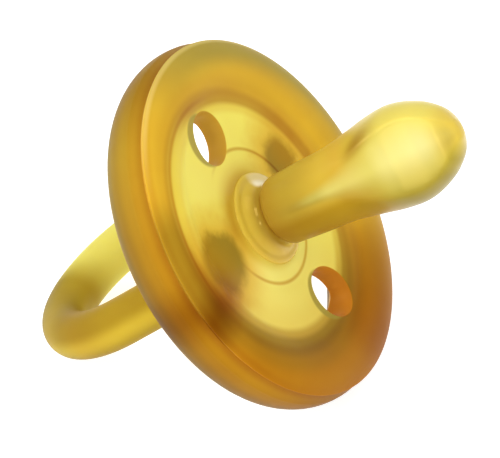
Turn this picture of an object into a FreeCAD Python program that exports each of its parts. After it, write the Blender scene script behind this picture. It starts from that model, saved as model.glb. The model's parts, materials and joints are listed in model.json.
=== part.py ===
import FreeCAD, Part
import math
import os

# Natural rubber pacifier: a round shield with a thick rolled rim, a hollow teat in front,
# a ring handle behind. Lengths are in millimetres, angles in degrees.
#
# The pieces are drawn in the shield's own frame: x along the teat, towards its tip,
# y from one air vent to the other, z from one handle root to the other.
# At the end the whole pacifier is laid down as it rests: on the rim and on the ring's far end,
# with the teat in the air.

# Shield
RIM_ROUND = 4.7            # radius of the rolled rim's back
RIM_CENTRE_R = 16.8        # radius of the circle that the rim's back is rolled around
RIM_CENTRE_X = -0.73
RIM_FRONT_ROUND = 5.14     # the rim's front face is flatter and rolled a little further out
RIM_FRONT_R = 17.71
RIM_FRONT_X = -1.93
WEB_THICKNESS = 2.7
WEB_FRONT_X = 0.475        # the web's front face on the teat's axis
WEB_DISH = 0.13            # how much the web rises for each millimetre outwards
WEB_FILLET = 3.0           # where the web's front turns up into the rim
SEAM_X = 1.95              # the moulding seam: a lip that stands proud of a shallow valley
SEAM_R = 21.08
VALLEY_DEPTH = 0.42
VALLEY_ROUND = 0.08        # how far the surface between valley and rim bulges
SPLIT_X = -0.2             # flat joint between the two shells inside the web
SPLIT_R = 13.5             # where that joint starts to rise to the seam
BACK_WALL_POINT = (-2.7, 15.5)   # the rim's inner wall flares out behind the web through here
BACK_WALL_FLARE = 43.0     # its angle to the teat's axis
BACK_CREST_ROUND = 1.2
BACK_FILLET = 1.1
BACK_PAD_R = 8.0           # low round pad on the web's back, between the handle's roots
BACK_PAD_HEIGHT = 0.4

# Air vents
VENT_R = 3.05
VENT_CENTRE_R = 11.5

# Teat
WALL = 1.2
STEM_START_X = 3.3
STEM_SHOULDER = 0.5
BULB_X = 21.2
BULB_R = 5.6
TIP_X = 28.5
NOSE_X = 25.2              # a point on the bulb's round end
NOSE_R = 4.6
STEM_RADII = [(0, 3.85), (0.25, 4.08), (0.55, 4.39), (0.80, 5.32)]  # along the stem, to the bulb
NECK_R = 3.3
NECK_START_R = 3.7
NECK_WAIST_R = 3.15
NECK_START_X = 1.3
CHANNEL_R = 2.1
BOSS_R = 5.3               # the flange's boss comes up level with the web
BOSS_TOP_R = 3.9           # and narrows towards the neck
FLANGE_R = 7.5
FLANGE_TOP_X = 0.3

# Valve plug in the shield's back
PLUG_R = 2.6
AIR_HOLE_R = 0.4

# Handle: a U of round tube, its far end a ring
RING_R = 11.0              # radius of the ring's centreline
RING_X = -16.9             # the ring's centre
HANDLE_Y = -0.75           # the handle's plane lies a little above the teat's axis
TUBE_R = 2.75
ARM_ANGLE = 80.0           # where the straight arms leave the ring, from the +x direction
ARM_END_X = -6.5           # where the arms end and the roots begin
ROOT_FOOT_X = -0.5
ROOT_FOOT_Z = 9.1
ROOT_FOOT_HALF_LENGTH = 3.5
ROOT_FOOT_HALF_WIDTH = 3.1
WAIST_EXTRA = 0.15         # how much longer than round the root's middle section is
OVAL_SLACK = 0.001         # an ellipse needs unequal half axes

X_AXIS = FreeCAD.Vector(1, 0, 0)
Y_AXIS = FreeCAD.Vector(0, 1, 0)
Z_AXIS = FreeCAD.Vector(0, 0, 1)
ORIGIN = FreeCAD.Vector(0, 0, 0)


def web_front(r):
    """Height of the web's front face at radius r."""
    return WEB_FRONT_X + WEB_DISH * r


def web_back(r):
    return web_front(r) - WEB_THICKNESS


def point(x, r):
    """A profile point at height x and radius r."""
    return FreeCAD.Vector(x, r, 0)


def line(a, b):
    return Part.makeLine(point(*a), point(*b))


def arc(a, middle, b):
    return Part.Arc(point(*a), point(*middle), point(*b)).toShape()


def on_circle(centre, radius, angle):
    """Profile point on a circle; the angle is counted from the +x direction towards +r."""
    turn = math.radians(angle)
    return (centre[0] + radius * math.cos(turn), centre[1] + radius * math.sin(turn))


def angle_to(centre, target):
    return math.degrees(math.atan2(target[1] - centre[1], target[0] - centre[0]))


def arc_about(centre, radius, start, end):
    """Arc about a centre from one angle to another."""
    middle = 0.5 * (start + end)
    return arc(on_circle(centre, radius, start), on_circle(centre, radius, middle),
               on_circle(centre, radius, end))


def revolve(edges):
    """Solid of revolution about the teat's axis from a closed profile."""
    face = Part.Face(Part.Wire(Part.__sortEdges__(edges)))
    return face.revolve(ORIGIN, X_AXIS, 360)


def web_fillet_centre():
    """Centre of the fillet that touches the web's front cone and the rim's front circle."""
    lift = WEB_FRONT_X + WEB_FILLET * math.hypot(1, WEB_DISH)
    reach = RIM_FRONT_ROUND + WEB_FILLET
    a = 1 + WEB_DISH ** 2
    b = 2 * (WEB_DISH * (lift - RIM_FRONT_X) - RIM_FRONT_R)
    c = (lift - RIM_FRONT_X) ** 2 + RIM_FRONT_R ** 2 - reach ** 2
    r = (-b - math.sqrt(b * b - 4 * a * c)) / (2 * a)
    return (lift + WEB_DISH * r, r)


def back_wall_normal():
    """Direction from the rim's inner wall into the hollow behind the web."""
    flare = math.radians(BACK_WALL_FLARE)
    return (-math.sin(flare), -math.cos(flare))


def back_crest_angle():
    """Where, on the rim's back circle, the crest touches it and turns into the inner wall."""
    nx, nr = back_wall_normal()
    inner = RIM_ROUND - BACK_CREST_ROUND
    gap_x = RIM_CENTRE_X - BACK_WALL_POINT[0]
    gap_r = RIM_CENTRE_R - BACK_WALL_POINT[1]
    share = (-BACK_CREST_ROUND - gap_x * nx - gap_r * nr) / inner
    return math.degrees(math.atan2(nr, nx) - math.acos(share)) % 360


def back_fillet_centre():
    """Centre of the fillet that touches the web's back cone and the rim's inner wall."""
    nx, nr = back_wall_normal()
    lift = web_back(0) - BACK_FILLET * math.hypot(1, WEB_DISH)
    reach = BACK_FILLET + BACK_WALL_POINT[0] * nx + BACK_WALL_POINT[1] * nr
    r = (reach - lift * nx) / (nr + WEB_DISH * nx)
    return (lift + WEB_DISH * r, r)


def vents():
    """The two round air vents, as cutting tools."""
    tools = []
    for side in (-1, 1):
        start = FreeCAD.Vector(-3 * RIM_ROUND, side * VENT_CENTRE_R, 0)
        tools.append(Part.makeCylinder(VENT_R, 6 * RIM_ROUND, start, X_AXIS))
    return tools


def seam_foot():
    """Where the joint between the shells comes out, under the lip."""
    return (SEAM_X - VALLEY_DEPTH, SEAM_R - VALLEY_DEPTH)


def make_shield_front():
    rim = (RIM_FRONT_X, RIM_FRONT_R)
    fillet = web_fillet_centre()
    web_end_angle = 180 + math.degrees(math.atan(-WEB_DISH))
    rim_start_angle = angle_to(fillet, rim)
    web_end = on_circle(fillet, WEB_FILLET, web_end_angle)
    rim_start = on_circle(fillet, WEB_FILLET, rim_start_angle)
    lip = on_circle(rim, RIM_FRONT_ROUND, angle_to(rim, (SEAM_X, SEAM_R)))
    edges = [
        line((FLANGE_TOP_X, BOSS_R), (web_front(BOSS_R), BOSS_R)),
        line((web_front(BOSS_R), BOSS_R), web_end),
        arc_about(fillet, WEB_FILLET, web_end_angle, rim_start_angle),
        arc_about(rim, RIM_FRONT_ROUND, angle_to(rim, rim_start), angle_to(rim, lip)),
        line(lip, seam_foot()),
        line(seam_foot(), (SPLIT_X, SPLIT_R)),
        line((SPLIT_X, SPLIT_R), (SPLIT_X, FLANGE_R)),
        line((SPLIT_X, FLANGE_R), (FLANGE_TOP_X, FLANGE_R)),
        line((FLANGE_TOP_X, FLANGE_R), (FLANGE_TOP_X, BOSS_R)),
    ]
    return revolve(edges).cut(vents())


def make_shield_back():
    rim = (RIM_CENTRE_X, RIM_CENTRE_R)
    crest_angle = back_crest_angle()
    crest = on_circle(rim, RIM_ROUND - BACK_CREST_ROUND, crest_angle)
    fillet = back_fillet_centre()
    wall_angle = 270 - BACK_WALL_FLARE
    web_angle = -math.degrees(math.atan(WEB_DISH))
    web_end = on_circle(fillet, BACK_FILLET, web_angle)
    wall_end = on_circle(fillet, BACK_FILLET, wall_angle - 180)
    pad_edge = (web_back(BACK_PAD_R) - BACK_PAD_HEIGHT, BACK_PAD_R)
    top = (RIM_CENTRE_X, RIM_CENTRE_R + RIM_ROUND)
    valley = (0.5 * (seam_foot()[0] + top[0]), 0.5 * (seam_foot()[1] + top[1]) + VALLEY_ROUND)
    edges = [
        line((SPLIT_X, PLUG_R), (SPLIT_X, SPLIT_R)),
        line((SPLIT_X, SPLIT_R), seam_foot()),
        arc(seam_foot(), valley, top),
        arc_about(rim, RIM_ROUND, 90, crest_angle),
        arc_about(crest, BACK_CREST_ROUND, crest_angle, wall_angle),
        line(on_circle(crest, BACK_CREST_ROUND, wall_angle), wall_end),
        arc_about(fillet, BACK_FILLET, wall_angle - 180, web_angle),
        line(web_end, (web_back(BACK_PAD_R), BACK_PAD_R)),
        line((web_back(BACK_PAD_R), BACK_PAD_R), pad_edge),
        line(pad_edge, (pad_edge[0], PLUG_R)),
        line((pad_edge[0], PLUG_R), (SPLIT_X, PLUG_R)),
    ]
    return revolve(edges).cut(vents())


def make_teat_flange():
    """Foot of the teat: held between the shells, its boss coming up level with the web."""
    boss_top = web_front(BOSS_R)
    edges = [
        line((SPLIT_X, CHANNEL_R), (SPLIT_X, FLANGE_R)),
        line((SPLIT_X, FLANGE_R), (FLANGE_TOP_X, FLANGE_R)),
        line((FLANGE_TOP_X, FLANGE_R), (FLANGE_TOP_X, BOSS_R)),
        line((FLANGE_TOP_X, BOSS_R), (boss_top, BOSS_R)),
        line((boss_top, BOSS_R), (NECK_START_X, BOSS_TOP_R)),
        line((NECK_START_X, BOSS_TOP_R), (NECK_START_X, CHANNEL_R)),
        line((NECK_START_X, CHANNEL_R), (SPLIT_X, CHANNEL_R)),
    ]
    return revolve(edges)


def make_teat_neck():
    """Thin collar between the foot and the stem: the teat bends here."""
    waist = (0.5 * (NECK_START_X + STEM_START_X), NECK_WAIST_R)
    edges = [
        arc((NECK_START_X, NECK_START_R), waist, (STEM_START_X, NECK_R)),
        line((STEM_START_X, NECK_R), (STEM_START_X, CHANNEL_R)),
        line((STEM_START_X, CHANNEL_R), (NECK_START_X, CHANNEL_R)),
        line((NECK_START_X, CHANNEL_R), (NECK_START_X, NECK_START_R)),
    ]
    return revolve(edges)


def teat_outline(inset):
    """Smooth line from the stem's start to the tip, moved inwards by the inset."""
    stem_x = STEM_START_X + STEM_SHOULDER
    length = BULB_X - stem_x
    points = [(stem_x + part * length, r - inset) for part, r in STEM_RADII]
    points.append((BULB_X, BULB_R - inset))
    points.append((NOSE_X, NOSE_R - inset))
    points.append((TIP_X - inset, 0))
    curve = Part.BSplineCurve()
    curve.interpolate([point(x, r) for x, r in points], InitialTangent=point(1, 0.02),
                      FinalTangent=point(0, -1))
    return curve.toShape(), points[0]


def make_teat():
    """Hollow stem and bulb, open at the bottom into the neck's channel."""
    outer, outer_start = teat_outline(0)
    inner, inner_start = teat_outline(WALL)
    edges = [
        outer,
        line((TIP_X, 0), (TIP_X - WALL, 0)),
        inner,
        line(inner_start, (inner_start[0], CHANNEL_R)),
        line((inner_start[0], CHANNEL_R), (STEM_START_X, CHANNEL_R)),
        line((STEM_START_X, CHANNEL_R), (STEM_START_X, NECK_R)),
        line((STEM_START_X, NECK_R), outer_start),
    ]
    return revolve(edges)


def make_air_valve_plug():
    """Plug that closes the teat's channel behind, with its fine air hole."""
    back = web_back(BACK_PAD_R) - BACK_PAD_HEIGHT
    plug = Part.makeCylinder(PLUG_R, SPLIT_X - back, FreeCAD.Vector(back, 0, 0), X_AXIS)
    hole = Part.makeCylinder(AIR_HOLE_R, SPLIT_X - back, FreeCAD.Vector(back, 0, 0), X_AXIS)
    return plug.cut(hole)


def in_handle_plane(x, z):
    return FreeCAD.Vector(x, HANDLE_Y, z)


def arm_direction(side):
    """Direction of one straight arm, towards the shield."""
    turn = math.radians(ARM_ANGLE)
    return FreeCAD.Vector(math.sin(turn), 0, -side * math.cos(turn))


def arm_start(side):
    """Where the arm leaves the ring."""
    turn = math.radians(ARM_ANGLE)
    return in_handle_plane(RING_X + RING_R * math.cos(turn), side * RING_R * math.sin(turn))


def arm_length():
    return (ARM_END_X - arm_start(1).x) / arm_direction(1).x


def arm_end(side):
    """Where the arm meets its root."""
    return arm_start(side) + arm_direction(side) * arm_length()


def make_handle_ring():
    """The ring and its two straight arms, up to the roots."""
    section = Part.makeCircle(TUBE_R, arm_start(1), arm_direction(1))
    face = Part.Face(Part.Wire([section]))
    ring = face.revolve(in_handle_plane(RING_X, 0), Y_AXIS, -(360 - 2 * ARM_ANGLE))
    arms = [Part.makeCylinder(TUBE_R, arm_length(), arm_start(side), arm_direction(side))
            for side in (-1, 1)]
    return ring.fuse(arms).removeSplitter().Solids[0]


def oval(centre, normal, half_length, half_width):
    """Closed oval wire across the normal, its width along y."""
    long_tip = centre + Y_AXIS.cross(normal).normalize() * half_length
    wide_tip = centre + Y_AXIS * half_width
    return Part.Wire([Part.Ellipse(long_tip, wide_tip, centre).toShape()])


def make_handle_root(side, shield_back):
    """Flared root that joins one arm to the web; its foot is trimmed where it meets the web."""
    foot = in_handle_plane(ROOT_FOOT_X, side * ROOT_FOOT_Z)
    end = arm_end(side)
    waist = (foot + end) * 0.5
    wires = [
        oval(foot, X_AXIS * -1, ROOT_FOOT_HALF_LENGTH, ROOT_FOOT_HALF_WIDTH),
        oval(waist, X_AXIS * -1 - arm_direction(side), TUBE_R + WAIST_EXTRA, TUBE_R),
        oval(end, arm_direction(side) * -1, TUBE_R + OVAL_SLACK, TUBE_R),
    ]
    return Part.makeLoft(wires, True).cut(shield_back)


def rest_tilt():
    """Angle that the teat points above the floor when rim and ring both touch it."""
    along = RIM_CENTRE_X - (RING_X - RING_R)
    across = RIM_CENTRE_R - HANDLE_Y
    lean = math.asin((RIM_ROUND - TUBE_R) / math.hypot(along, across))
    return math.atan2(across, along) + lean


def laid_down(shape, tilt, base):
    """The shape turned from the shield's frame to the rest pose, standing on z = 0."""
    placed = shape.copy()
    c, s = math.cos(tilt), math.sin(tilt)
    placed.transformShape(FreeCAD.Matrix(c, s, 0, -base.x,
                                         0, 0, 1, -base.y,
                                         s, -c, 0, -base.z,
                                         0, 0, 0, 1))
    return placed


def make_parts():
    shield_back = make_shield_back()
    return {
        "shield_front": make_shield_front(),
        "shield_back": shield_back,
        "teat_flange": make_teat_flange(),
        "teat_neck": make_teat_neck(),
        "teat": make_teat(),
        "air_valve_plug": make_air_valve_plug(),
        "handle_ring": make_handle_ring(),
        "handle_root_left": make_handle_root(-1, shield_back),
        "handle_root_right": make_handle_root(1, shield_back),
    }


def main():
    parts = make_parts()
    tilt = rest_tilt()
    loose = Part.Compound([laid_down(shape, tilt, ORIGIN) for shape in parts.values()])
    box = loose.optimalBoundingBox()
    base = FreeCAD.Vector(0.5 * (box.XMin + box.XMax), 0, box.ZMin)
    print("tilt %.3f deg, base %.3f %.3f" % (math.degrees(tilt), base.x, base.z))
    os.makedirs("parts", exist_ok=True)
    for name, shape in parts.items():
        placed = laid_down(shape, tilt, base)
        placed.exportStep("parts/%s.step" % name)
        print(name, placed.isValid(), len(placed.Solids), round(placed.Volume, 1))


main()
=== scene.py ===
"""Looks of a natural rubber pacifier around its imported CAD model.

Shapes are worked out in the shield's own frame, in millimetres: x along the teat towards its tip,
y towards the lower air vent, z towards the handle root on the camera's far side. SHIELD_FRAME
turns them into the row frame's metres. Colours are placed in the same millimetres, and angles
about the teat's axis run from +y to +z.
"""

import json
import math

import bmesh
import bpy
import numpy as np
from mathutils import Matrix, Vector


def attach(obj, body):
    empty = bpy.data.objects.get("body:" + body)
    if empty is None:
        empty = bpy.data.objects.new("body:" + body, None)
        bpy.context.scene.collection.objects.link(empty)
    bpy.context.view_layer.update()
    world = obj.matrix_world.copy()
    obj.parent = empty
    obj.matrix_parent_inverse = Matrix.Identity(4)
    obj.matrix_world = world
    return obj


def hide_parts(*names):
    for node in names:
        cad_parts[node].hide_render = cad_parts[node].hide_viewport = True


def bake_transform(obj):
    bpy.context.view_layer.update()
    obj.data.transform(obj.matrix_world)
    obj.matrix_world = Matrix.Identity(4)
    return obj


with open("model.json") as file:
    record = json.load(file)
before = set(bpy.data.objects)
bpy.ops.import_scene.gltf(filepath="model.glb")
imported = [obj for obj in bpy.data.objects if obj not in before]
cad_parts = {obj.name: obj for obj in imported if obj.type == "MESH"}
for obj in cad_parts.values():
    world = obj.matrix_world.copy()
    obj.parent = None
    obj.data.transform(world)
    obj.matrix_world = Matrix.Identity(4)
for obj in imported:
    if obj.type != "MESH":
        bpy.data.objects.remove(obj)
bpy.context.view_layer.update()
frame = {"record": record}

MM = 0.001

# Shield, in millimetres (x, r) about the teat's axis
RIM_ROUND = 4.7
RIM_CENTRE = (-0.73, 16.8)
RIM_FRONT_ROUND = 5.14
RIM_FRONT_CENTRE = (-1.93, 17.71)
WEB_THICKNESS = 2.7
WEB_FRONT_X = 0.475
WEB_DISH = 0.13
WEB_FILLET = 3.0
SEAM = (1.95, 21.08)
VALLEY_DEPTH = 0.42
BACK_WALL_POINT = (-2.7, 15.5)
BACK_WALL_FLARE = 43.0
BACK_CREST_ROUND = 1.2
BACK_FILLET = 1.1
BACK_START_ANGLE = 80      # where the rim's back begins, behind the seam's valley
BACK_PAD_R = 8.0
BACK_PAD_HEIGHT = 0.4
PLUG_R = 2.6
PLUG_FLOOR_X = -1.0
PLUG_GAP = 0.05            # room between the plug and its seat
AIR_HOLE_R = 0.4

# Air vents
VENT_R = 3.05
VENT_CENTRE_R = 11.5
VENT_DEPTH = 0.6           # the mounts stand this far in front of the frame's origin
VENT_EDGE = 0.16
MOUTH_GROW = 0.25          # how far the cutting tool spreads and reaches past the vent's mouths
MOUTH_RISE = 0.4

# Teat: half width along x
TEAT_STATIONS = (4.0, 8.0, 12.0, 16.0, 19.0, 21.5, 24.0, 26.0, 27.5, 28.2)
TEAT_HALF_WIDTHS = (3.98, 4.22, 4.38, 5.0, 5.5, 5.62, 4.98, 3.95, 2.55, 1.3)
TIP_X = 28.45
# The teat's flat side: a narrow stripe on the stem that widens to a spoon on the bulb
FLAT_NORMAL = (0.0, -0.342, -0.940)
FLAT_ACROSS = (0.0, 0.940, -0.342)
FLAT_STATIONS = (3.6, 5.0, 8.0, 11.0, 13.5, 16.0, 18.4, 20.9, 23.3, 25.6, 27.3, 28.4)
FLAT_HALF_WIDTHS = (0.3, 0.5, 0.7, 0.95, 1.4, 2.1, 3.0, 3.7, 4.0, 3.3, 2.0, 0.8)
FLAT_EDGE = 0.16
SOFT_HALF_WIDTH = 1.6      # the stem's two tones meet over at least this

# Handle
RING_R = 11.0
RING_X = -16.9
HANDLE_Y = -0.75
TUBE_R = 2.75
ARM_ANGLE = 80.0
ARM_END_X = -6.5
ROOT_FOOT = (-0.6, 9.1)
ROOT_HALF_LENGTH = 3.5
ROOT_HALF_WIDTH = 3.1
ROOT_FILLET = 0.9
ROOT_FILLET_DEPTH = 0.45

# Camera, towards the shield from the teat's side
CAMERA_AZIMUTH = 18.75
CAMERA_ELEVATION = 37.0
CAMERA_ROLL = -2.3
CAMERA_DISTANCE = 0.3818
CAMERA_AIM = (0.00018, -0.00074, 0.01806)
CAMERA_LENS = 247.26
SENSOR_WIDTH = 36.0
LIT_POINT = (0, 0, 0.02)   # what the lamps point at

# Depth of the layer seen through the web, and how far it slides sideways for each millimetre
SEEN_DEPTH_X = 0.4
SEEN_SLIDE_Y = 0.62
SEEN_SLIDE_Z = 1.35
GRAIN_DEPTH = 0.03 * MM    # height of the skin's fine grain


def shield_frame():
    """Matrix from the shield's own millimetres to the row frame's metres, from the vent mounts."""
    mounts = {mount["name"]: mount for mount in frame["record"]["mounts"]}
    upper = Vector(mounts["vent_upper"]["pos_m"])
    lower = Vector(mounts["vent_lower"]["pos_m"])
    along = Vector(mounts["vent_upper"]["axis"]).normalized()
    across = (lower - upper).normalized()
    side = along.cross(across)
    origin = (upper + lower) / 2 - along * VENT_DEPTH * MM
    turn = Matrix((along, across, side)).transposed().to_4x4()
    return Matrix.Translation(origin) @ turn @ Matrix.Scale(MM, 4)


SHIELD_FRAME = shield_frame()


# ---------------------------------------------------------------- outlines

def web_front(r):
    return WEB_FRONT_X + WEB_DISH * r


def web_back(r):
    return web_front(r) - WEB_THICKNESS


def on_circle(centre, radius, angle):
    """Profile point on a circle, the angle in degrees from the +x direction towards +r."""
    turn = math.radians(angle)
    return (centre[0] + radius * math.cos(turn), centre[1] + radius * math.sin(turn))


def angle_to(centre, target):
    return math.degrees(math.atan2(target[1] - centre[1], target[0] - centre[0]))


def arc(centre, radius, start, end, steps=24):
    return [on_circle(centre, radius, start + (end - start) * i / steps) for i in range(steps + 1)]


def web_fillet_centre():
    """Centre of the fillet that touches the web's front cone and the rim's front circle."""
    lift = WEB_FRONT_X + WEB_FILLET * math.hypot(1, WEB_DISH)
    reach = RIM_FRONT_ROUND + WEB_FILLET
    a = 1 + WEB_DISH ** 2
    b = 2 * (WEB_DISH * (lift - RIM_FRONT_CENTRE[0]) - RIM_FRONT_CENTRE[1])
    c = (lift - RIM_FRONT_CENTRE[0]) ** 2 + RIM_FRONT_CENTRE[1] ** 2 - reach ** 2
    r = (-b - math.sqrt(b * b - 4 * a * c)) / (2 * a)
    return (lift + WEB_DISH * r, r)


def back_wall_normal():
    """Direction from the rim's inner wall into the hollow behind the web."""
    flare = math.radians(BACK_WALL_FLARE)
    return (-math.sin(flare), -math.cos(flare))


def back_crest_angle():
    """Where, on the rim's back circle, the crest touches it and turns into the inner wall."""
    nx, nr = back_wall_normal()
    inner = RIM_ROUND - BACK_CREST_ROUND
    gap_x = RIM_CENTRE[0] - BACK_WALL_POINT[0]
    gap_r = RIM_CENTRE[1] - BACK_WALL_POINT[1]
    share = (-BACK_CREST_ROUND - gap_x * nx - gap_r * nr) / inner
    return math.degrees(math.atan2(nr, nx) - math.acos(share)) % 360


def back_fillet_centre():
    """Centre of the fillet that touches the web's back cone and the rim's inner wall."""
    nx, nr = back_wall_normal()
    lift = web_back(0) - BACK_FILLET * math.hypot(1, WEB_DISH)
    reach = BACK_FILLET + BACK_WALL_POINT[0] * nx + BACK_WALL_POINT[1] * nr
    r = (reach - lift * nx) / (nr + WEB_DISH * nx)
    return (lift + WEB_DISH * r, r)


def shield_outline():
    """The shield's section from its front middle over the rim to its back middle."""
    fillet = web_fillet_centre()
    web_end_angle = 180 - math.degrees(math.atan(WEB_DISH))
    rim_start_angle = angle_to(fillet, RIM_FRONT_CENTRE)
    rim_start = on_circle(fillet, WEB_FILLET, rim_start_angle)
    foot = (SEAM[0] - VALLEY_DEPTH, SEAM[1] - VALLEY_DEPTH)
    crest_angle = back_crest_angle()
    crest = on_circle(RIM_CENTRE, RIM_ROUND - BACK_CREST_ROUND, crest_angle)
    wall_angle = 270 - BACK_WALL_FLARE
    web_angle = -math.degrees(math.atan(WEB_DISH))
    pad_x = web_back(BACK_PAD_R) - BACK_PAD_HEIGHT
    seat = PLUG_R + PLUG_GAP
    points = [(WEB_FRONT_X, 0.0)]
    points += arc(fillet, WEB_FILLET, web_end_angle, rim_start_angle)
    points += arc(RIM_FRONT_CENTRE, RIM_FRONT_ROUND, angle_to(RIM_FRONT_CENTRE, rim_start),
                  angle_to(RIM_FRONT_CENTRE, SEAM), 40)
    points += [foot]
    points += arc(RIM_CENTRE, RIM_ROUND, BACK_START_ANGLE, crest_angle, 48)
    points += arc(crest, BACK_CREST_ROUND, crest_angle, wall_angle)
    points += arc(back_fillet_centre(), BACK_FILLET, wall_angle - 180, web_angle)
    points += [(web_back(BACK_PAD_R), BACK_PAD_R), (pad_x, BACK_PAD_R)]
    points += [(pad_x, seat), (PLUG_FLOOR_X, seat), (PLUG_FLOOR_X, 0.0)]
    return points


def softened(points, corner):
    """The same open outline with its corners rounded, as a rubber moulding has them."""
    step = 0.04
    line = np.array(points)
    gaps = np.hypot(*np.diff(line, axis=0).T)
    line = line[np.r_[True, gaps > 1e-6]]
    place = np.r_[0, np.cumsum(np.hypot(*np.diff(line, axis=0).T))]
    even = np.linspace(0, place[-1], int(place[-1] / step))
    fine = np.c_[np.interp(even, place, line[:, 0]), np.interp(even, place, line[:, 1])]
    reach = int(3 * corner / step)
    weights = np.exp(-0.5 * (np.arange(-reach, reach + 1) * step / corner) ** 2)
    weights /= weights.sum()
    padded = np.r_[2 * fine[0] - fine[reach:0:-1], fine, 2 * fine[-1] - fine[-2:-reach - 2:-1]]
    smooth = np.c_[np.convolve(padded[:, 0], weights, "valid"),
                   np.convolve(padded[:, 1], weights, "valid")]
    return thinned(smooth, turn=math.radians(5), gap=0.55)


def thinned(line, turn, gap):
    """Keeps the points of a fine outline that its bends need."""
    steps = np.diff(line, axis=0)
    heading = np.unwrap(np.arctan2(steps[:, 1], steps[:, 0]))
    kept = [0]
    for i in range(1, len(line) - 1):
        far = np.hypot(*(line[i] - line[kept[-1]])) > gap
        if far or abs(heading[i] - heading[kept[-1]]) > turn:
            kept.append(i)
    kept.append(len(line) - 1)
    return line[kept]


# ---------------------------------------------------------------- meshes

def object_from(name, points, faces):
    """A mesh object from points, still in the shield's own millimetres."""
    mesh = bpy.data.meshes.new(name)
    mesh.from_pydata([tuple(p) for p in points], [], faces)
    mesh.validate()
    made = bpy.data.objects.new(name, mesh)
    bpy.context.scene.collection.objects.link(made)
    outward(made)
    return made


def outward(thing):
    work = bmesh.new()
    work.from_mesh(thing.data)
    bmesh.ops.remove_doubles(work, verts=work.verts, dist=1e-4)
    bmesh.ops.recalc_face_normals(work, faces=work.faces)
    work.to_mesh(thing.data)
    work.free()


def grid_faces(rows, columns, wrap_rows=False):
    """Quads between rows of points; each row is a closed loop."""
    faces = []
    for i in range(rows if wrap_rows else rows - 1):
        low = i * columns
        high = (i + 1) % rows * columns
        for j in range(columns):
            k = (j + 1) % columns
            faces.append((low + j, low + k, high + k, high + j))
    return faces


def capped_faces(rows, columns):
    """Quads plus a flat cap on the first and the last row."""
    faces = grid_faces(rows, columns)
    faces.append(tuple(range(columns)))
    faces.append(tuple(range((rows - 1) * columns, rows * columns)))
    return faces


def revolved(name, outline, columns):
    """Closed solid from an open outline that starts and ends on the axis."""
    points = [(outline[0][0], 0.0, 0.0)]
    for x, r in outline[1:-1]:
        for j in range(columns):
            turn = 2 * math.pi * j / columns
            points.append((x, r * math.cos(turn), r * math.sin(turn)))
    points.append((outline[-1][0], 0.0, 0.0))
    rows = len(outline) - 2
    faces = [tuple(1 + k for k in face) for face in grid_faces(rows, columns)]
    last = len(points) - 1
    for j in range(columns):
        k = (j + 1) % columns
        faces.append((0, 1 + j, 1 + k))
        faces.append((last, last - columns + j, last - columns + k))
    return object_from(name, points, faces)


def put_in_row(thing, break_angle):
    """Keeps each point's millimetres for the materials, then moves the mesh to the row frame."""
    places = np.array([v.co for v in thing.data.vertices], np.float32)
    layer = thing.data.attributes.new("rest", "FLOAT_VECTOR", "POINT")
    layer.data.foreach_set("vector", places.ravel())
    thing.data.transform(SHIELD_FRAME)
    thing.data.shade_smooth()
    thing.data.set_sharp_from_angle(angle=math.radians(break_angle))


def vent_cutter(outline, side):
    """The vent as a solid whose two mouths flare out to the shield's faces."""
    top = int(np.argmax(outline[:, 1]))
    front, back = outline[:top], outline[top:][::-1]
    columns = 96
    points = []
    bends = [math.radians(a) for a in (0, 15, 30, 45, 60, 75)]
    edge = [(VENT_EDGE * (1 - math.cos(a)), VENT_EDGE * (math.sin(a) - 1)) for a in bends]
    edge.append((VENT_EDGE + MOUTH_GROW, MOUTH_RISE))
    rows = [(grow, back, rise) for grow, rise in edge[::-1]]
    rows += [(grow, front, rise) for grow, rise in edge]
    for grow, face, rise in rows:
        outwards = 1 if face is front else -1
        for j in range(columns):
            turn = 2 * math.pi * j / columns
            y = side * VENT_CENTRE_R + (VENT_R + grow) * math.cos(turn)
            z = (VENT_R + grow) * math.sin(turn)
            height = np.interp(math.hypot(y, z), face[:, 1], face[:, 0])
            points.append((height + outwards * rise, y, z))
    return object_from("vent_cutter", points, capped_faces(len(rows), columns))


def cut(thing, tool):
    """Takes the tool's volume out of the thing and removes the tool."""
    work = thing.modifiers.new("cut", "BOOLEAN")
    work.operation = "DIFFERENCE"
    work.solver = "EXACT"
    work.object = tool
    settle(thing)
    bpy.data.objects.remove(tool)


def settle(thing):
    """Applies the thing's modifiers."""
    view = bpy.context.evaluated_depsgraph_get()
    view.update()
    done = bpy.data.meshes.new_from_object(thing.evaluated_get(view))
    thing.modifiers.clear()
    thing.data = done


def make_shield():
    outline = softened(shield_outline(), corner=0.06)
    inner = outline[outline[:, 1] > AIR_HOLE_R]
    outline = np.r_[[[WEB_FRONT_X, 0.0]], inner, [[PLUG_FLOOR_X, 0.0]]]
    shield = revolved("shield", outline, 360)
    for side in (-1, 1):
        cut(shield, vent_cutter(outline, side))
    put_in_row(shield, 40)
    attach(shield, "shield")
    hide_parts("shield_front", "shield_back")
    return shield


def smooth_line(places, values, wanted):
    """Values at the wanted places on a smooth curve through the given ones."""
    slopes = np.gradient(np.array(values), np.array(places))
    result = []
    for x in wanted:
        i = min(max(int(np.searchsorted(places, x)) - 1, 0), len(places) - 2)
        width = places[i + 1] - places[i]
        t = min(max((x - places[i]) / width, 0.0), 1.0)
        result.append((2 * t ** 3 - 3 * t ** 2 + 1) * values[i]
                      + (t ** 3 - 2 * t ** 2 + t) * width * slopes[i]
                      + (3 * t ** 2 - 2 * t ** 3) * values[i + 1]
                      + (t ** 3 - t ** 2) * width * slopes[i + 1])
    return np.array(result)


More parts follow.
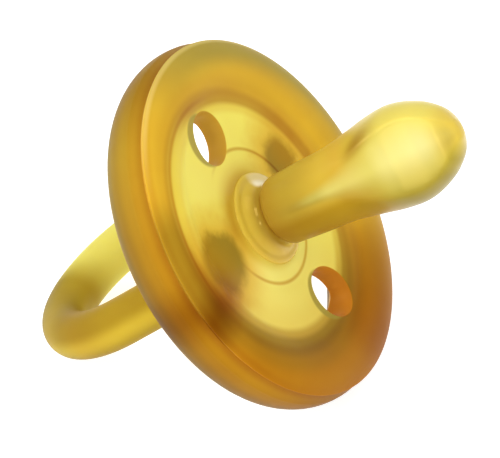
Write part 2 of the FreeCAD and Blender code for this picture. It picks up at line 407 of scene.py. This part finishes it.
def teat_foot():
    """Section of the teat's foot: under the web, a low bead, the neck and the stem's shoulder."""
    return [(0.2, 5.5), (1.12, 5.5), (1.36, 5.38), (1.47, 5.15), (1.5, 4.9), (1.47, 4.7),
            (1.52, 4.45), (1.68, 4.15), (1.92, 3.8), (2.25, 3.5), (2.65, 3.32), (3.0, 3.27),
            (3.22, 3.36), (3.34, 3.52), (3.46, 3.72), (3.66, 3.86)]


def teat_stations():
    """(x, half width) from the foot to the tip."""
    stations = [tuple(point) for point in softened(teat_foot(), corner=0.12)]
    body = np.linspace(TEAT_STATIONS[0], TEAT_STATIONS[-1], 70)
    stations += list(zip(body, smooth_line(TEAT_STATIONS, TEAT_HALF_WIDTHS, body)))
    end_x, end_width = stations[-1]
    for turn in np.radians((30, 50, 70)):
        stations.append((end_x + (TIP_X - end_x) * math.sin(turn), end_width * math.cos(turn)))
    return stations


def flat_half_width(x):
    return float(smooth_line(FLAT_STATIONS, FLAT_HALF_WIDTHS, [x])[0])


def flattened(place, width):
    """Moves a point of the teat's round surface onto its flat side."""
    normal = Vector(FLAT_NORMAL)
    depth = math.sqrt(max(width ** 2 - flat_half_width(place.x) ** 2, 0.01))
    reach = place.dot(normal)
    soft = -FLAT_EDGE * math.log(math.exp(-reach / FLAT_EDGE) + math.exp(-depth / FLAT_EDGE))
    return place + normal * (min(soft, reach) - reach)


def teat_points(columns):
    """The teat's points in rings, and for each (beside, facing, across) the flat side's middle.

    beside is in half widths of the flat side, facing in millimetres along its normal, and across
    like beside but over a soft width where the flat side is narrow.
    """
    points = []
    inside = []
    for x, width in teat_stations():
        half = flat_half_width(x)
        for j in range(columns):
            turn = 2 * math.pi * j / columns
            place = Vector((x, width * math.cos(turn), width * math.sin(turn)))
            across = place.dot(Vector(FLAT_ACROSS))
            facing = place.dot(Vector(FLAT_NORMAL))
            inside.append((across / half, facing, across / max(half, SOFT_HALF_WIDTH)))
            points.append(flattened(place, width) if x > FLAT_STATIONS[0] else place)
    return points, inside


def make_teat():
    columns = 160
    points, inside = teat_points(columns)
    rows = len(points) // columns
    faces = grid_faces(rows, columns)
    faces.append(tuple(range(columns)))
    tip = len(points)
    points.append(Vector((TIP_X, 0, 0)))
    inside.append((0.0, 0.0, 0.0))
    for j in range(columns):
        faces.append((tip, (rows - 1) * columns + j, (rows - 1) * columns + (j + 1) % columns))
    teat = object_from("teat_skin", points, faces)
    layer = teat.data.attributes.new("flat", "FLOAT_VECTOR", "POINT")
    layer.data.foreach_set("vector", np.array(inside, np.float32).ravel())
    put_in_row(teat, 60)
    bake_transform(teat)
    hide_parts("teat", "teat_neck", "teat_flange")
    return teat


def handle_path():
    """(place, heading) pairs in x and z along the middle of the tube, root to root."""
    turn = math.radians(ARM_ANGLE)
    start = Vector((RING_X + RING_R * math.cos(turn), RING_R * math.sin(turn)))
    heading = Vector((math.sin(turn), -math.cos(turn)))
    end = start + heading * ((ARM_END_X - start.x) / heading.x)
    foot = Vector(ROOT_FOOT)
    half = []
    for t in np.linspace(0, 1, 26) ** 1.5:
        place = foot.lerp(end, t)
        way = Vector((1, 0)).lerp(heading, min(1.0, 1.5 * t)).normalized()
        half.append((place, way))
    for t in np.linspace(0, 1, 14)[1:]:
        half.append((end.lerp(start, t), heading))
    for angle in np.linspace(ARM_ANGLE, 180, 40)[1:]:
        a = math.radians(angle)
        half.append((Vector((RING_X + RING_R * math.cos(a), RING_R * math.sin(a))),
                     Vector((math.sin(a), -math.cos(a)))))
    other = [(Vector((p.x, -p.y)), Vector((-w.x, w.y))) for p, w in half[-2::-1]]
    return half + other


def handle_section(x):
    """Half length and half width of the tube at height x: the roots flare out at the web."""
    away = max(0.0, web_back(ROOT_FOOT[1]) - x)
    share = min(1.0, away / (web_back(ROOT_FOOT[1]) - ARM_END_X))
    fade = (1 - share) ** 2 * (1 + 2 * share)
    flare = ROOT_FILLET * math.exp(-away / ROOT_FILLET_DEPTH)
    return (TUBE_R + (ROOT_HALF_LENGTH - TUBE_R) * fade + flare,
            TUBE_R + (ROOT_HALF_WIDTH - TUBE_R) * fade + flare)


def make_handle():
    columns = 72
    points = []
    path = handle_path()
    for place, heading in path:
        across = Vector((heading.y, 0, -heading.x))
        length, width = handle_section(place.x)
        middle = Vector((place.x, HANDLE_Y, place.y))
        for j in range(columns):
            turn = 2 * math.pi * j / columns
            points.append(middle + across * length * math.cos(turn) + Vector((0, width * math.sin(turn), 0)))
    handle = object_from("handle_skin", points, capped_faces(len(path), columns))
    put_in_row(handle, 60)
    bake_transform(handle)
    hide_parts("handle_ring", "handle_root_left", "handle_root_right")
    return handle


def make_plug():
    """Valve plug in the shield's back, a little domed, with its air hole."""
    pad_x = web_back(BACK_PAD_R) - BACK_PAD_HEIGHT
    floor_x = PLUG_FLOOR_X + PLUG_GAP
    side_r = PLUG_R - 0.04
    outline = [(floor_x, AIR_HOLE_R), (pad_x - 0.05, AIR_HOLE_R), (pad_x - 0.16, AIR_HOLE_R + 0.2),
               (pad_x - 0.14, 1.2), (pad_x - 0.08, 2.0), (pad_x + 0.02, 2.4), (pad_x + 0.14, side_r),
               (floor_x, side_r)]
    outline = softened(outline + outline[:1], corner=0.05)[:-1]
    columns = 96
    points = []
    for x, r in outline:
        for j in range(columns):
            turn = 2 * math.pi * j / columns
            points.append((x, r * math.cos(turn), r * math.sin(turn)))
    plug = object_from("valve_plug", points, grid_faces(len(outline), columns, wrap_rows=True))
    put_in_row(plug, 50)
    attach(plug, "shield")
    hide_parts("air_valve_plug")
    return plug


# ---------------------------------------------------------------- materials

def rgb(text):
    """Linear colour from a hexadecimal display colour."""
    parts = [int(text[i:i + 2], 16) / 255 for i in (0, 2, 4)]
    return tuple(c / 12.92 if c <= 0.04045 else ((c + 0.055) / 1.055) ** 2.4 for c in parts) + (1.0,)


class Graph:
    """Short calls for a material's nodes."""

    def __init__(self, name):
        self.material = bpy.data.materials.new(name)
        self.material.use_nodes = True
        self.tree = self.material.node_tree
        self.tree.nodes.clear()
        self.shader = self.tree.nodes.new("ShaderNodeBsdfPrincipled")
        output = self.tree.nodes.new("ShaderNodeOutputMaterial")
        self.tree.links.new(self.shader.outputs[0], output.inputs[0])
        self.rest = self.layer("rest")
        self.x, self.y, self.z = self.parts(self.rest)

    def layer(self, name):
        node = self.tree.nodes.new("ShaderNodeAttribute")
        node.attribute_name = name
        return node.outputs["Vector"]

    def parts(self, vector):
        node = self.tree.nodes.new("ShaderNodeSeparateXYZ")
        self.tree.links.new(vector, node.inputs[0])
        return node.outputs

    def feed(self, value, socket):
        if isinstance(value, bpy.types.NodeSocket):
            self.tree.links.new(value, socket)
        else:
            socket.default_value = value

    def math(self, operation, *values):
        node = self.tree.nodes.new("ShaderNodeMath")
        node.operation = operation
        for value, socket in zip(values, node.inputs):
            self.feed(value, socket)
        return node.outputs[0]

    def plus(self, a, b):
        return self.math("ADD", a, b)

    def times(self, a, b):
        return self.math("MULTIPLY", a, b)

    def length(self, a, b):
        return self.math("SQRT", self.plus(self.times(a, a), self.times(b, b)))

    def between(self, value, start, end):
        """0 at start, 1 at end, smooth between them."""
        node = self.tree.nodes.new("ShaderNodeMapRange")
        node.interpolation_type = "SMOOTHSTEP"
        for item, name in ((value, "Value"), (start, "From Min"), (end, "From Max")):
            self.feed(item, node.inputs[name])
        return node.outputs[0]

    def bump_at(self, value, centre, reach):
        """1 at the centre, falling smoothly to 0 at the reach on both sides."""
        off = self.math("ABSOLUTE", self.plus(value, -centre))
        return self.between(off, reach, 0.0)

    def ramp(self, value, *stops):
        """Colours along a value: stops are (value, colour)."""
        span = stops[-1][0]
        node = self.tree.nodes.new("ShaderNodeValToRGB")
        node.color_ramp.interpolation = "EASE"
        elements = node.color_ramp.elements
        while len(elements) < len(stops):
            elements.new(0.5)
        for element, (place, colour) in zip(elements, stops):
            element.position = place / span
            element.color = rgb(colour)
        self.feed(self.times(value, 1 / span), node.inputs[0])
        return node.outputs[0]

    def mix(self, share, a, b, how="MIX"):
        node = self.tree.nodes.new("ShaderNodeMix")
        node.data_type = "RGBA"
        node.blend_type = how
        self.feed(share, node.inputs[0])
        self.feed(a, node.inputs[6])
        self.feed(b, node.inputs[7])
        return node.outputs[2]

    def noise(self, scale, detail=2.0):
        node = self.tree.nodes.new("ShaderNodeTexNoise")
        node.inputs["Scale"].default_value = scale
        node.inputs["Detail"].default_value = detail
        self.tree.links.new(self.rest, node.inputs["Vector"])
        return node.outputs["Fac"]

    def bump(self, height, strength, distance):
        node = self.tree.nodes.new("ShaderNodeBump")
        node.inputs["Strength"].default_value = strength
        node.inputs["Distance"].default_value = distance
        self.tree.links.new(height, node.inputs["Height"])
        self.tree.links.new(node.outputs[0], self.shader.inputs["Normal"])

    def toward(self, angle, y, z):
        """How far (y, z) reaches in a direction about the teat's axis, in degrees from +y to +z."""
        turn = math.radians(angle)
        return self.plus(self.times(y, math.cos(turn)), self.times(z, math.sin(turn)))

    def aim(self, angle, y, z, r):
        """1 where (y, z) at radius r lies in that direction, 0 at right angles to it, -1 opposite."""
        return self.math("DIVIDE", self.toward(angle, y, z), r)

    def tint(self, share, colour, tone):
        """Multiplies a colour by a tone where the share says so."""
        return self.mix(share, colour, tone, "MULTIPLY")

    def rubber(self, colour, roughness, gloss, scatter, reach=0.8):
        """Translucent rubber on the shader's own sockets."""
        self.feed(colour, self.shader.inputs["Base Color"])
        self.feed(roughness, self.shader.inputs["Roughness"])
        self.shader.inputs["IOR"].default_value = 1.5
        self.shader.inputs["Specular IOR Level"].default_value = gloss
        self.shader.inputs["Specular Tint"].default_value = rgb("FFDC78")
        self.shader.inputs["Subsurface Weight"].default_value = scatter
        self.shader.inputs["Subsurface Radius"].default_value = (1.0, 0.8, 0.4)
        self.shader.inputs["Subsurface Scale"].default_value = reach * MM
        return self.material


def seen_through(graph, share=1.0):
    """(y, z) of what shows through the front at a point, a fixed slant from the camera's side."""
    depth = graph.times(graph.math("MAXIMUM", graph.plus(graph.x, -SEEN_DEPTH_X), 0.0), share)
    y = graph.plus(graph.y, graph.times(depth, SEEN_SLIDE_Y))
    z = graph.plus(graph.z, graph.times(depth, SEEN_SLIDE_Z))
    return y, z


def front_colour(graph):
    """Pale web inside a dark ring, partly thicker rubber and partly painted shade on the rim's inner slope,
    and a golden rim; painted light and shade by side make the rim browner and the web's middle paler towards
    the lower vent.
    """
    y, z = seen_through(graph)
    r = graph.math("MAXIMUM", graph.length(y, z), 1.0)
    # Painted light: tones for the lit side.
    lit_side_tones = graph.ramp(
        r, (0.0, "E4CC50"), (5.0, "E2C850"), (6.4, "F2E26C"), (8.5, "F3E46C"), (12.4, "F4E66C"),
        (13.4, "E8D058"), (14.3, "BD9430"), (15.1, "B98C28"), (16.2, "CDA02E"), (18.0, "D3A832"),
        (20.5, "C8A036"))
    # Painted shade: the lower side's tones, a browner rim and a paler web middle.
    lower_side_shading = graph.ramp(
        r, (0.0, "E4CC50"), (5.0, "EED65C"), (6.4, "FFEE80"), (8.5, "F4E272"), (12.3, "E8D062"),
        (13.3, "BE9C38"), (14.2, "957518"), (15.2, "87620E"), (16.4, "9A6C10"), (18.5, "A8700C"),
        (21.5, "9C640C"))
    # Painted shading: 1 towards the lower vent, where the shaded tones take over.
    low = graph.aim(-25, y, z, r)
    colour = graph.mix(graph.between(low, 0.05, 0.85), lit_side_tones, lower_side_shading)
    colour = web_painted_light_and_shade(graph, colour, y, z, r)
    colour = rim_shading_and_tint(graph, colour, y, z, r)
    return pad_line(graph, root_patches(graph, colour, y, z), y, z)


def web_painted_light_and_shade(graph, colour, y, z, r):
    """Painted light and shade where the web meets the rim: a pale gap of painted light on one side and a
    painted shade line in the crease; and a painted shadow on one side of the neck's foot.
    """
    # Painted light: a pale gap where light comes through from behind, on the 215° side.
    open_side = graph.aim(215, y, z, r)
    gap = graph.times(graph.between(open_side, 0.7, 0.98), graph.bump_at(r, 14.0, 1.6))
    colour = graph.mix(graph.times(gap, 0.85), colour, rgb("EAD254"))
    # Painted shade: a dark line in the crease where the web meets the rim.
    crease = graph.times(graph.between(open_side, 0.4, 0.8), graph.bump_at(r, 14.75, 0.45))
    colour = graph.tint(graph.times(crease, 0.6), colour, rgb("D0A050"))
    # Painted shadow: the neck's foot is darker on its 190° side.
    left = graph.times(graph.bump_at(r, 5.3, 2.4), graph.between(graph.toward(190, y, z), 0.5, 4.5))
    return graph.tint(graph.times(left, 0.8), colour, rgb("DCC490"))


def rim_shading_and_tint(graph, colour, y, z, r):
    """Painted shading on the rim: an olive upper edge painted as it looks at grazing angles, painted shade
    on the near stretch of the crest and in its groove, a redder right side, and a painted highlight as a
    pale line along the lip.
    """
    own_r = graph.length(graph.y, graph.z)
    # Painted shade: the upper outer edge turns olive, as the rubber looks at grazing angles.
    upper = graph.between(graph.toward(130, graph.y, graph.z), 6, 19)
    edge = graph.times(graph.between(own_r, 16.5, 19.5), upper)
    colour = graph.mix(graph.times(edge, 0.9), colour, rgb("9C8C3C"))
    # Painted shade on the near stretch of the crest, and in the groove beside the seam.
    crest = graph.aim(254, graph.y, graph.z, graph.math("MAXIMUM", own_r, 1.0))
    crest_shade = graph.times(graph.between(crest, 0.88, 0.975), graph.between(own_r, 18.2, 19.6))
    colour = graph.tint(crest_shade, colour, rgb("C8C8C0"))
    groove = graph.times(graph.between(crest, 0.5, 0.9), graph.bump_at(own_r, 20.7, 0.6))
    colour = graph.tint(graph.times(groove, 0.3), colour, rgb("D0A068"))
    right = graph.between(graph.aim(25, y, z, r), 0.84, 0.97)
    red = graph.times(right, graph.between(r, 15, 17))
    colour = graph.tint(red, colour, rgb("E8D8D8"))
    # Painted highlight: a pale line where the lip catches the light on the left.
    left = graph.between(graph.toward(165, graph.y, graph.z), 9, 18)
    lip = graph.times(graph.bump_at(own_r, 20.85, 0.4), left)
    return graph.mix(graph.times(lip, 0.3), colour, rgb("F2DC96"))


def pad_line(graph, colour, y, z):
    """Edge of the pad behind the web, lost towards the near root."""
    reach = graph.length(graph.plus(y, 0.45), graph.plus(z, -0.3))
    seen = graph.between(graph.toward(235, y, z), 7.0, 3.0)
    line = graph.bump_at(reach, BACK_PAD_R - 0.05, 0.36)
    return graph.tint(graph.times(graph.times(line, seen), 0.8), colour, rgb("CCA860"))


def root_patches(graph, colour, y, z):
    """The handle's two roots, seen dark through the web with painted shade around them, and the lower arm's
    painted shadow.
    """
    wander = graph.times(graph.plus(graph.noise(0.4, 4.0), -0.5), 2.2)
    across = graph.times(graph.plus(graph.plus(y, 1.6), wander), 1 / 4.0)
    along = graph.times(graph.plus(graph.plus(graph.math("ABSOLUTE", z), -10.0), wander), 1 / 4.2)
    reach = graph.plus(graph.length(across, along), graph.times(graph.between(z, -2.0, 2.0), 0.22))
    front = graph.between(graph.x, -0.4, 0.4)
    # Painted shade: a soft darker ring round each root.
    root_shade_halo = graph.times(graph.between(reach, 2.0, 0.8), front)
    colour = graph.tint(graph.times(root_shade_halo, 0.7), colour, rgb("DDB050"))
    core = graph.times(graph.between(reach, 1.1, 0.65), front)
    tone = graph.mix(graph.between(along, -0.7, 0.6), rgb("907828"), rgb("A07818"))
    colour = graph.mix(graph.times(core, 0.94), colour, tone)
    # Painted shadow of the lower arm across the web.
    arm_shadow_strip = graph.times(graph.bump_at(y, 0.7, 4.2), graph.between(z, -9.5, -13.0))
    return graph.tint(graph.times(arm_shadow_strip, front), colour, rgb("CCAA60"))


def back_colour(graph):
    """Rim behind the seam, and the hollow behind the web, with the lower arm's painted shadow across the
    rim.
    """
    own_r = graph.math("MAXIMUM", graph.length(graph.y, graph.z), 1.0)
    hollow = graph.ramp(own_r, (0.0, "E6D058"), (12.5, "E8D45C"), (14.5, "C49A34"), (17.0, "B88C2E"))
    colour = graph.mix(graph.between(own_r, 15.0, 17.0), hollow, back_rim_colour(graph, own_r))
    # Painted shadow of the lower arm on the rim's back.
    arm_shadow_strip = graph.times(graph.bump_at(graph.y, -2.4, 4.8), graph.between(graph.z, -15, -19))
    return graph.tint(arm_shadow_strip, colour, rgb("D0BC98"))


def back_rim_colour(graph, own_r):
    """Olive to golden from the back to the seam; painted shade makes it browner towards the lower vent and
    darker where the rim faces away from the 255° side.
    """
    depth = graph.plus(graph.x, 6.0)
    golden = graph.ramp(
        depth, (0.0, "A08E38"), (1.4, "94802E"), (2.6, "7E6C24"), (3.8, "8E7424"), (5.6, "A28428"),
        (6.6, "AE8826"), (7.3, "A67C20"), (7.7, "845C18"))
    # Painted shade: the lower side's browner tones.
    lower_side_shading = graph.ramp(
        depth, (0.0, "94722C"), (1.4, "846424"), (2.6, "6A5016"), (3.8, "7C5A18"), (5.6, "966A18"),
        (6.6, "A67618"), (7.3, "9C6816"), (7.7, "7E5010"))
    # Painted shade: the side towards the lower vent takes the browner tones.
    low = graph.aim(-45, graph.y, graph.z, own_r)
    colour = graph.mix(graph.between(low, -0.5, 0.7), golden, lower_side_shading)
    # Painted shade: darker away from the 255° side.
    turned_away_shade = graph.aim(255, graph.y, graph.z, own_r)
    return graph.tint(graph.between(turned_away_shade, 0.85, 0.2), colour, rgb("CCC0A0"))


def shield_colour(graph):
    """Front and back meet in the seam's valley behind the front face's lip."""
    own_r = graph.length(graph.y, graph.z)
    seam = graph.plus(graph.x, graph.times(graph.plus(own_r, -SEAM[1]), -1.0))
    outer = graph.times(graph.between(own_r, 20.3, 20.5), graph.between(seam, 1.9, 1.7))
    inner = graph.times(graph.between(own_r, 20.5, 20.3), graph.between(graph.x, -0.4, -1.4))
    colour = graph.mix(graph.plus(outer, inner), front_colour(graph), back_colour(graph))
    return vent_walls(graph, colour)


def vent_walls(graph, colour):
    """Brown walls inside the vents, and their shadow seen through the web beside them."""
    y, z = seen_through(graph, 0.5)
    own = graph.length(graph.plus(graph.math("ABSOLUTE", graph.y), -VENT_CENTRE_R), graph.z)
    seen = graph.length(graph.plus(graph.math("ABSOLUTE", y), -VENT_CENTRE_R), z)
    front = graph.between(graph.x, 0.2, 0.9)
    shadow = graph.times(graph.between(seen, VENT_R + 0.2, VENT_R - 0.2), front)
    colour = graph.mix(graph.times(shadow, 0.85), colour, rgb("9A8C3A"))
    wall = graph.between(own, VENT_R + 0.12, VENT_R + 0.02)
    tone = graph.mix(graph.between(graph.y, -2.0, 2.0), rgb("BC9438"), rgb("B87824"))
    return graph.mix(wall, colour, tone)


def mottled(graph, colour, amount):
    """Slow uneven tint of poured rubber."""
    drift = graph.mix(graph.noise(0.16, 3.0), rgb("C8A24A"), rgb("FFF6B0"))
    return graph.mix(amount, colour, drift, "SOFT_LIGHT")


def shield_material():
    graph = Graph("shield_rubber_look")
    own_r = graph.length(graph.y, graph.z)
    colour = mottled(graph, shield_colour(graph), 0.3)
    rim = graph.between(own_r, 13.0, 16.5)
    wear = graph.times(graph.plus(graph.noise(0.9, 4.0), -0.5), 0.10)
    roughness = graph.plus(graph.plus(graph.times(rim, 0.14), 0.34), wear)
    graph.bump(graph.noise(5.0, 4.0), 0.08, GRAIN_DEPTH)
    return graph.rubber(colour, roughness, gloss=0.09, scatter=0.2)


def teat_colour(graph):
    """Painted light and shade: pale and lit along the flat side, golden above it and shaded darker below it,
    with painted shade in the valley beside the bulb's flat side.
    """
    beside, facing, across = graph.parts(graph.layer("flat"))
    # Painted light: the lit, golden tones above the flat side.
    above = graph.ramp(
        graph.x, (0.0, "DCC04C"), (1.5, "D4B644"), (2.6, "A0842E"), (3.6, "A4862F"), (7.0, "AC9438"),
        (12.5, "C4A840"), (15.0, "BE9E3C"), (17.5, "B69E3A"), (20.5, "C8BA58"), (26.0, "D8C862"),
        (28.4, "DEC254"))
    # Painted shade: the shaded, browner tones below the flat side.
    below = graph.ramp(
        graph.x, (0.0, "DCC04C"), (1.5, "D8B648"), (2.6, "987A26"), (3.6, "927024"), (8.0, "98781E"),
        (13.0, "A0801E"), (17.0, "94781C"), (21.0, "7E7018"), (25.0, "86781E"), (27.0, "A0902E"),
        (28.2, "CCB648"))
    # Painted light: pale lit tones along the flat side, standing in for its sheen.
    flat = graph.ramp(
        graph.x, (0.0, "DCC04C"), (3.6, "8E742C"), (7.0, "98843A"), (10.5, "B8AE5A"), (13.0, "CCC26E"),
        (16.0, "C8BC68"), (18.5, "C6BC64"), (21.0, "D4CC80"), (25.0, "D6D08C"), (27.6, "CCB658"))
    colour = graph.mix(graph.between(across, 0.2, 1.3), above, below)
    # Painted shade in the valley beside the bulb's flat side.
    valley = graph.times(graph.bump_at(beside, -1.15, 0.55), graph.bump_at(graph.x, 18.8, 3.4))
    colour = graph.tint(graph.times(valley, 0.9), colour, rgb("C0A870"))
    # Painted highlight: the flat side's pale tones down its middle, with painted shade over its one half.
    middle = graph.times(graph.bump_at(beside, -0.05, 1.15), graph.between(facing, 0.5, 2.5))
    flat = graph.tint(graph.between(beside, -0.1, 0.7), flat, rgb("D2CEC0"))
    colour = graph.mix(graph.times(middle, graph.between(graph.x, 4.5, 11.0)), colour, flat)
    return neck_shade_and_highlight(graph, colour)


def neck_shade_and_highlight(graph, colour):
    """Painted shade in the crease under the stem's shoulder, and a painted highlight as a pale glossy spot
    at the top of the neck.
    """
    # Painted shade in the crease under the stem's shoulder.
    crease = graph.times(graph.bump_at(graph.x, 3.2, 0.5), 0.6)
    colour = graph.tint(crease, colour, rgb("C8A868"))
    # Painted highlight at the top of the neck.
    top = graph.between(graph.aim(138, graph.y, graph.z, graph.length(graph.y, graph.z)), 0.86, 0.97)
    return graph.mix(graph.times(top, graph.bump_at(graph.x, 1.9, 0.7)), colour, rgb("FFF6DC"))


def teat_material():
    graph = Graph("teat_rubber_look")
    colour = mottled(graph, teat_colour(graph), 0.25)
    wear = graph.times(graph.plus(graph.noise(0.8, 4.0), -0.5), 0.08)
    roughness = graph.plus(graph.plus(graph.times(graph.between(graph.x, 3.0, 4.2), 0.16), 0.14), wear)
    graph.bump(graph.noise(3.0, 2.0), 0.04, GRAIN_DEPTH)
    return graph.rubber(colour, roughness, gloss=0.5, scatter=0.2)


def handle_colour(graph):
    """Olive at the roots and the far end, a far arm painted pale as if it glows with light through it, and
    painted shade on the near arm above and below.
    """
    colour = graph.ramp(
        graph.times(graph.x, -1.0), (0.0, "A8842C"), (3.0, "A8862A"), (8.0, "B8A036"), (14.0, "BCA43A"),
        (20.0, "AC9232"), (25.0, "A08C30"), (30.0, "70601C"))
    # Painted light: the far arm glows pale as if lit through.
    far = graph.times(graph.between(graph.z, 0.0, 5.5), graph.between(graph.x, -32.0, -28.0))
    colour = graph.mix(far, colour, rgb("CCC668"))
    # Painted shade on the near arm, underneath and on top.
    near = graph.between(graph.z, 0.0, -5.0)
    under = graph.times(near, graph.between(graph.y, -0.6, 1.4))
    colour = graph.tint(under, colour, rgb("CCC8A8"))
    above = graph.times(near, graph.between(graph.y, -0.8, -2.4))
    above = graph.times(above, graph.between(graph.x, -29.0, -22.0))
    return graph.tint(above, colour, rgb("D0C8B0"))


def handle_material():
    graph = Graph("handle_rubber_look")
    colour = mottled(graph, handle_colour(graph), 0.35)
    roughness = graph.plus(graph.times(graph.plus(graph.noise(0.9, 4.0), -0.5), 0.10), 0.46)
    graph.bump(graph.noise(6.0, 4.0), 0.10, GRAIN_DEPTH)
    return graph.rubber(colour, roughness, gloss=0.06, scatter=0.5, reach=2.0)


def plug_material():
    graph = Graph("valve_plug_look")
    own_r = graph.length(graph.y, graph.z)
    colour = graph.ramp(own_r, (0.0, "8C6A1C"), (0.42, "9C7822"), (0.7, "D8BC4A"), (2.3, "DCC350"),
                        (2.6, "B4922E"))
    colour = mottled(graph, colour, 0.3)
    graph.bump(graph.noise(5.0, 4.0), 0.08, GRAIN_DEPTH)
    return graph.rubber(colour, 0.4, gloss=0.25, scatter=0.25)


def dress(thing, material):
    thing.data.materials.clear()
    thing.data.materials.append(material)


# ---------------------------------------------------------------- studio

def floor_material():
    material = bpy.data.materials.new("floor_look")
    material.use_nodes = True
    shader = material.node_tree.nodes["Principled BSDF"]
    shader.inputs["Base Color"].default_value = (0.6, 0.6, 0.6, 1.0)
    shader.inputs["Roughness"].default_value = 0.9
    shader.inputs["Specular IOR Level"].default_value = 0.0
    shader.inputs["Emission Color"].default_value = (1.0, 1.0, 1.0, 1.0)
    shader.inputs["Emission Strength"].default_value = 0.8
    return material


def make_floor():
    half = 3.0
    mesh = bpy.data.meshes.new("floor")
    corners = [(-half, -half, 0), (half, -half, 0), (half, half, 0), (-half, half, 0)]
    mesh.from_pydata(corners, [], [(0, 1, 2, 3)])
    floor = bpy.data.objects.new("floor", mesh)
    bpy.context.scene.collection.objects.link(floor)
    dress(floor, floor_material())


def area_light(name, place, size, watts):
    data = bpy.data.lights.new(name, "AREA")
    data.shape = "DISK"
    data.size = size
    data.energy = watts
    light = bpy.data.objects.new(name, data)
    light.location = place
    light.rotation_euler = (Vector(LIT_POINT) - Vector(place)).to_track_quat("-Z", "Y").to_euler()
    bpy.context.scene.collection.objects.link(light)


def make_studio():
    world = bpy.data.worlds.new("studio")
    world.use_nodes = True
    sky = world.node_tree.nodes["Background"]
    sky.inputs["Color"].default_value = (1, 1, 1, 1)
    sky.inputs["Strength"].default_value = 0.72
    bpy.context.scene.world = world
    area_light("key", (-0.25, -0.35, 0.55), size=0.35, watts=1.9)
    area_light("top", (0.15, 0.15, 0.6), size=0.4, watts=0.5)
    area_light("front", (0.02, -0.47, 0.21), size=0.12, watts=0.3)
    area_light("left", (-0.44, -0.175, 0.185), size=0.12, watts=0.4)
    bpy.context.scene.view_settings.view_transform = "Standard"


def make_camera():
    azimuth = math.radians(CAMERA_AZIMUTH)
    elevation = math.radians(CAMERA_ELEVATION)
    back = Vector((math.sin(azimuth) * math.cos(elevation), -math.cos(azimuth) * math.cos(elevation),
                   math.sin(elevation)))
    data = bpy.data.cameras.new("camera")
    data.lens = CAMERA_LENS
    data.sensor_width = SENSOR_WIDTH
    data.clip_start = 0.01
    camera = bpy.data.objects.new("camera", data)
    camera.location = Vector(CAMERA_AIM) + back * CAMERA_DISTANCE
    turn = back.to_track_quat("Z", "Y").to_matrix().to_4x4()
    camera.rotation_euler = (turn @ Matrix.Rotation(math.radians(CAMERA_ROLL), 4, "Z")).to_euler()
    bpy.context.scene.collection.objects.link(camera)
    bpy.context.scene.camera = camera


make_camera()
make_floor()
make_studio()
dress(make_shield(), shield_material())
dress(make_teat(), teat_material())
dress(make_handle(), handle_material())
dress(make_plug(), plug_material())
